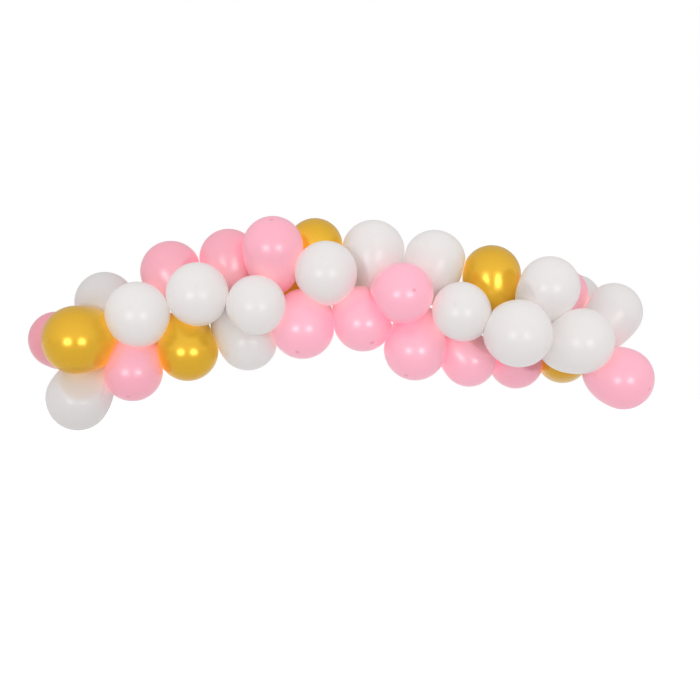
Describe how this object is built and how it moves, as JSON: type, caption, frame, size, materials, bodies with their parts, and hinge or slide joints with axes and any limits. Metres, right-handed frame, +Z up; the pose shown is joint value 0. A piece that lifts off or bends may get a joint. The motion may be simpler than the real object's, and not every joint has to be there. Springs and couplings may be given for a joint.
{
  "type": "balloon garland",
  "caption": "Arched garland of white, pink and gold latex balloons, tied by their necks to a clear plastic garland strip that hangs from small holes.",
  "frame": {"origin": "on the upper face of the garland strip at the crown of the arch, in the middle of the strip's width", "axes": "+X along the garland to the right as seen from the room, +Y towards the wall, +Z up; -Y faces the room"},
  "size_m": [2.2504, 0.6424, 0.7645],
  "materials": {
    "white_latex": "smooth blown latex with a soft sheen",
    "pink_latex": "smooth blown latex with a soft sheen",
    "gold_latex": "pearl metallic latex, glossy",
    "clear_plastic": "thin clear film strip"
  },
  "bodies": {
    "root": {"balloon_pink_far_left": "pink_latex", "balloon_white_low_left": "white_latex", "balloon_gold_left": "gold_latex", "balloon_white_back_left": "white_latex", "balloon_pink_low_1": "pink_latex", "balloon_white_front_1": "white_latex", "balloon_gold_low_1": "gold_latex", "balloon_pink_top_1": "pink_latex", "balloon_white_front_2": "white_latex", "balloon_white_low_2": "white_latex", "balloon_pink_top_2": "pink_latex", "balloon_white_front_3": "white_latex", "balloon_gold_inner": "gold_latex", "balloon_pink_top_3": "pink_latex", "balloon_pink_low_2": "pink_latex", "balloon_gold_top_1": "gold_latex", "balloon_white_front_4": "white_latex", "balloon_pink_low_3": "pink_latex", "balloon_white_top_1": "white_latex", "balloon_pink_front_1": "pink_latex", "balloon_white_top_2": "white_latex", "balloon_pink_low_4": "pink_latex", "balloon_pink_low_5": "pink_latex", "balloon_white_front_5": "white_latex", "balloon_gold_top_2": "gold_latex", "balloon_white_front_6": "white_latex", "balloon_pink_low_6": "pink_latex", "balloon_white_top_3": "white_latex", "balloon_pink_back_right": "pink_latex", "balloon_white_front_7": "white_latex", "balloon_white_back_right": "white_latex", "balloon_gold_low_2": "gold_latex", "balloon_white_top_4": "white_latex", "balloon_pink_far_right": "pink_latex", "garland_strip": "clear_plastic"}
  },
  "joints": []
}
